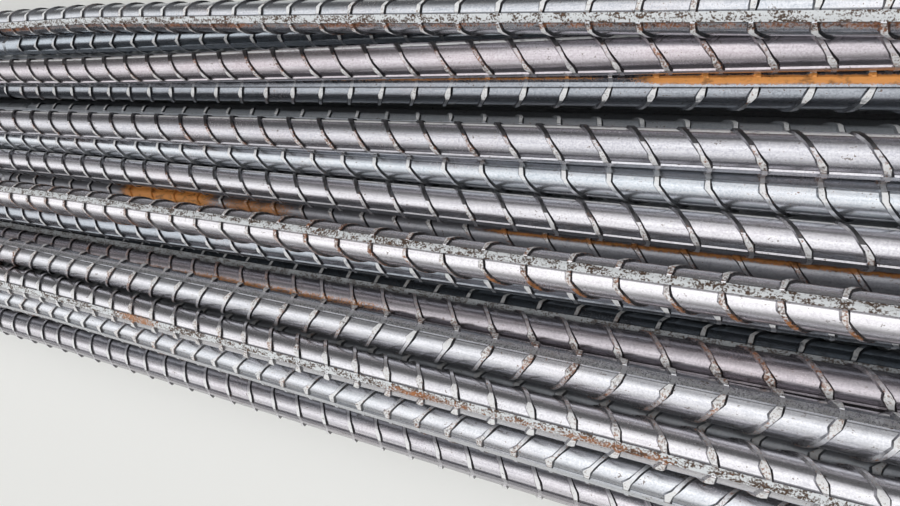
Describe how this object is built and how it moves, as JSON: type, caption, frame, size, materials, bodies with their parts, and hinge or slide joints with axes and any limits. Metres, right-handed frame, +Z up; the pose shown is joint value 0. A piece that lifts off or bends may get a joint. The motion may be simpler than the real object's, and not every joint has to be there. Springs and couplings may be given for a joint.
{
  "type": "rebar bundle",
  "caption": "Bundle of long straight ribbed reinforcing bars in nested layers, lightly rusted, held together by twisted wire ties.",
  "frame": {"origin": "middle of the bundle's footprint, at floor level", "axes": "+X along the bars, +Y across the bundle towards the side that is heaped higher, +Z up"},
  "size_m": [6.024, 0.2359, 0.1642],
  "materials": {
    "bar_steel": "hot-rolled, grey mill scale with light rust",
    "tie_wire": "rolled wire, dark scale with light rust"
  },
  "bodies": {
    "root": {"bars_row_1": "bar_steel", "bars_row_2": "bar_steel", "bars_row_3": "bar_steel", "bars_row_4": "bar_steel", "bars_row_5": "bar_steel", "bars_row_6": "bar_steel", "bars_row_7": "bar_steel", "wire_tie_1": "tie_wire", "wire_tie_2": "tie_wire", "wire_tie_3": "tie_wire", "wire_tie_4": "tie_wire"}
  },
  "joints": []
}
